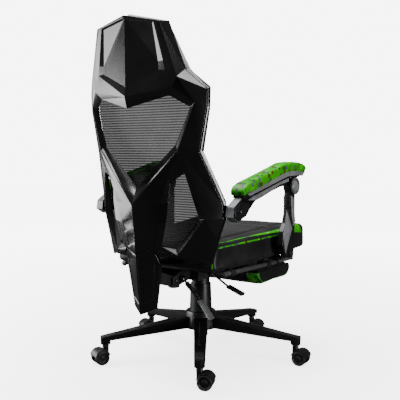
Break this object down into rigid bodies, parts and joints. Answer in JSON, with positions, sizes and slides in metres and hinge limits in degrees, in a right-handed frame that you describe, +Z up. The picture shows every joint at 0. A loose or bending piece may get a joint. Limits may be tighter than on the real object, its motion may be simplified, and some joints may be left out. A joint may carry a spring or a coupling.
{
  "type": "gaming chair",
  "caption": "High-backed gaming chair with a faceted shell, a mesh back, linked reclining armrests, a pull-out footrest, a gas lift and a castored star base",
  "frame": {"origin": "on the floor, on the vertical axis of the gas lift", "axes": "+Z up; the sitter faces -Y; +X is the sitter's left"},
  "size_m": [0.7388, 0.7761, 1.13],
  "materials": {
    "black_plastic": "satin",
    "base_plastic": "satin",
    "dark_plastic": "satin",
    "silver_trim": "satin",
    "grey_steel": "satin",
    "bright_steel": "brushed",
    "dark_steel": "satin",
    "seat_leather": "matte",
    "pad_leather": "mosaic print",
    "mesh": "open knit",
    "tyre_grey": "matte",
    "plywood": "plain"
  },
  "bodies": {
    "base": {"star_base": "base_plastic", "gas_lift_cylinder": "dark_steel", "cover_lower": "dark_plastic"},
    "cover": {"cover_middle": "dark_plastic"},
    "lift": {"cover_upper": "dark_plastic", "gas_lift_piston": "bright_steel"},
    "seat": {"tilt_housing": "dark_steel", "tilt_spring": "dark_steel", "hinge_brackets": "dark_steel", "recline_pin": "bright_steel", "seat_cushion": "seat_leather", "seat_board": "plywood", "mechanism_plate": "dark_steel", "seat_screws": "bright_steel", "footrest_rail_right": "grey_steel", "footrest_rail_left": "grey_steel", "rail_end_caps": "dark_plastic", "rail_collars": "dark_plastic", "rail_hangers": "dark_steel", "armrest_bracket_right": "dark_steel", "armrest_bracket_left": "dark_steel", "armrest_strut_pins": "bright_steel"},
    "tension_knob": {"tension_knob": "dark_plastic"},
    "height_lever": {"height_lever_rod": "bright_steel", "height_lever_paddle": "dark_plastic"},
    "recline_lever": {"recline_lever_rod": "bright_steel", "recline_lever_sleeve": "silver_trim", "recline_lever_paddle": "silver_trim"},
    "footrest_slide": {"footrest_slide_frame": "bright_steel"},
    "footrest": {"footrest_board": "dark_plastic", "footrest_cushion": "seat_leather"},
    "back": {"back_shell": "black_plastic", "spine_cover": "black_plastic", "tail_cover": "black_plastic", "back_frame": "black_plastic", "back_mesh": "mesh", "back_bracket": "dark_steel", "bracket_spacers": "dark_steel", "armrest_mount_right": "black_plastic", "armrest_mount_left": "black_plastic", "armrest_rear_pins": "bright_steel"},
    "armrest_right": {"armrest_frame_right": "black_plastic", "armrest_pad_right": "pad_leather", "armrest_knob_right": "silver_trim"},
    "strut_right": {"armrest_strut_right": "silver_trim"},
    "armrest_left": {"armrest_frame_left": "black_plastic", "armrest_pad_left": "pad_leather", "armrest_knob_left": "silver_trim"},
    "strut_left": {"armrest_strut_left": "silver_trim"},
    "castor_1": {"castor_hood_1": "dark_plastic"},
    "wheels_1": {"castor_wheels_1": "tyre_grey"},
    "castor_2": {"castor_hood_2": "dark_plastic"},
    "wheels_2": {"castor_wheels_2": "tyre_grey"},
    "castor_3": {"castor_hood_3": "dark_plastic"},
    "wheels_3": {"castor_wheels_3": "tyre_grey"},
    "castor_4": {"castor_hood_4": "dark_plastic"},
    "wheels_4": {"castor_wheels_4": "tyre_grey"},
    "castor_5": {"castor_hood_5": "dark_plastic"},
    "wheels_5": {"castor_wheels_5": "tyre_grey"}
  },
  "joints": [
    {"name": "castor_swivel_1", "type": "hinge", "parent": "base", "child": "castor_1", "pos_m": [-0.18815, 0.28319, 0.07], "axis": [0, 0, 1], "continuous": true},
    {"name": "castor_roll_1", "type": "hinge", "parent": "castor_1", "child": "wheels_1", "pos_m": [-0.20683, 0.27603, 0.025], "axis": [0.3584, -0.9336, 0], "continuous": true},
    {"name": "castor_swivel_2", "type": "hinge", "parent": "base", "child": "castor_2", "pos_m": [-0.32748, -0.09143, 0.07], "axis": [0, 0, 1], "continuous": true},
    {"name": "castor_roll_2", "type": "hinge", "parent": "castor_2", "child": "wheels_2", "pos_m": [-0.34747, -0.09178, 0.025], "axis": [0.0175, -0.9998, 0], "continuous": true},
    {"name": "castor_swivel_3", "type": "hinge", "parent": "base", "child": "castor_3", "pos_m": [-0.01424, -0.3397, 0.07], "axis": [0, 0, 1], "continuous": true},
    {"name": "castor_roll_3", "type": "hinge", "parent": "castor_3", "child": "wheels_3", "pos_m": [-0.03393, -0.34318, 0.025], "axis": [0.1736, -0.9848, 0], "continuous": true},
    {"name": "castor_swivel_4", "type": "hinge", "parent": "base", "child": "castor_4", "pos_m": [0.31868, -0.11851, 0.07], "axis": [0, 0, 1], "continuous": true},
    {"name": "castor_roll_4", "type": "hinge", "parent": "castor_4", "child": "wheels_4", "pos_m": [0.32868, -0.10119, 0.025], "axis": [-0.866, 0.5, 0], "continuous": true},
    {"name": "castor_swivel_5", "type": "hinge", "parent": "base", "child": "castor_5", "pos_m": [0.21119, 0.26646, 0.07], "axis": [0, 0, 1], "continuous": true},
    {"name": "castor_roll_5", "type": "hinge", "parent": "castor_5", "child": "wheels_5", "pos_m": [0.21901, 0.28487, 0.025], "axis": [-0.9205, 0.3907, 0], "continuous": true},
    {"name": "seat_height", "type": "slide", "parent": "base", "child": "lift", "axis": [0, 0, 1], "range_m": [0, 0.08]},
    {"name": "cover_slide", "type": "slide", "parent": "base", "child": "cover", "axis": [0, 0, 1], "range_m": [0, 0.04]},
    {"name": "seat_swivel", "type": "hinge", "parent": "lift", "child": "seat", "pos_m": [0, 0, 0.3], "axis": [0, 0, 1], "continuous": true},
    {"name": "tension_adjust", "type": "hinge", "parent": "seat", "child": "tension_knob", "pos_m": [0.05, 0.092, 0.27], "axis": [0, 0, 1], "continuous": true},
    {"name": "height_lever_turn", "type": "hinge", "parent": "seat", "child": "height_lever", "pos_m": [-0.083, 0.06, 0.312], "axis": [0, 1, 0], "range_deg": [0, 8], "stiffness_Nm_per_rad": 2},
    {"name": "recline_lever_turn", "type": "hinge", "parent": "seat", "child": "recline_lever", "pos_m": [-0.05, 0.178, 0.308], "axis": [0, 1, 0], "range_deg": [0, 10], "stiffness_Nm_per_rad": 2},
    {"name": "recline", "type": "hinge", "parent": "seat", "child": "back", "pos_m": [0, 0.205, 0.3], "axis": [-1, 0, 0], "range_deg": [0, 35]},
    {"name": "footrest_slide", "type": "slide", "parent": "seat", "child": "footrest_slide", "axis": [0, -0.9997, -0.0262], "range_m": [0, 0.25]},
    {"name": "footrest_flip", "type": "hinge", "parent": "footrest_slide", "child": "footrest", "pos_m": [0, -0.312, 0.3203], "axis": [-1, 0, 0], "range_deg": [0, 28]},
    {"name": "armrest_pivot_right", "type": "hinge", "parent": "back", "child": "armrest_right", "pos_m": [-0.2625, 0.2, 0.539], "axis": [-1, 0, 0], "range_deg": [-35, 0]},
    {"name": "strut_pivot_right", "type": "hinge", "parent": "seat", "child": "strut_right", "pos_m": [-0.2625, -0.162, 0.362], "axis": [-1, 0, 0], "range_deg": [0, 35]},
    {"name": "armrest_pivot_left", "type": "hinge", "parent": "back", "child": "armrest_left", "pos_m": [0.2625, 0.2, 0.539], "axis": [-1, 0, 0], "range_deg": [-35, 0]},
    {"name": "strut_pivot_left", "type": "hinge", "parent": "seat", "child": "strut_left", "pos_m": [0.2625, -0.162, 0.362], "axis": [-1, 0, 0], "range_deg": [0, 35]}
  ],
  "couplings": [
    {"joint": "cover_slide", "follows": "seat_height", "ratio": 0.5},
    {"joint": "armrest_pivot_right", "follows": "recline", "ratio": -1},
    {"joint": "strut_pivot_right", "follows": "recline", "ratio": 1},
    {"joint": "armrest_pivot_left", "follows": "recline", "ratio": -1},
    {"joint": "strut_pivot_left", "follows": "recline", "ratio": 1}
  ]
}
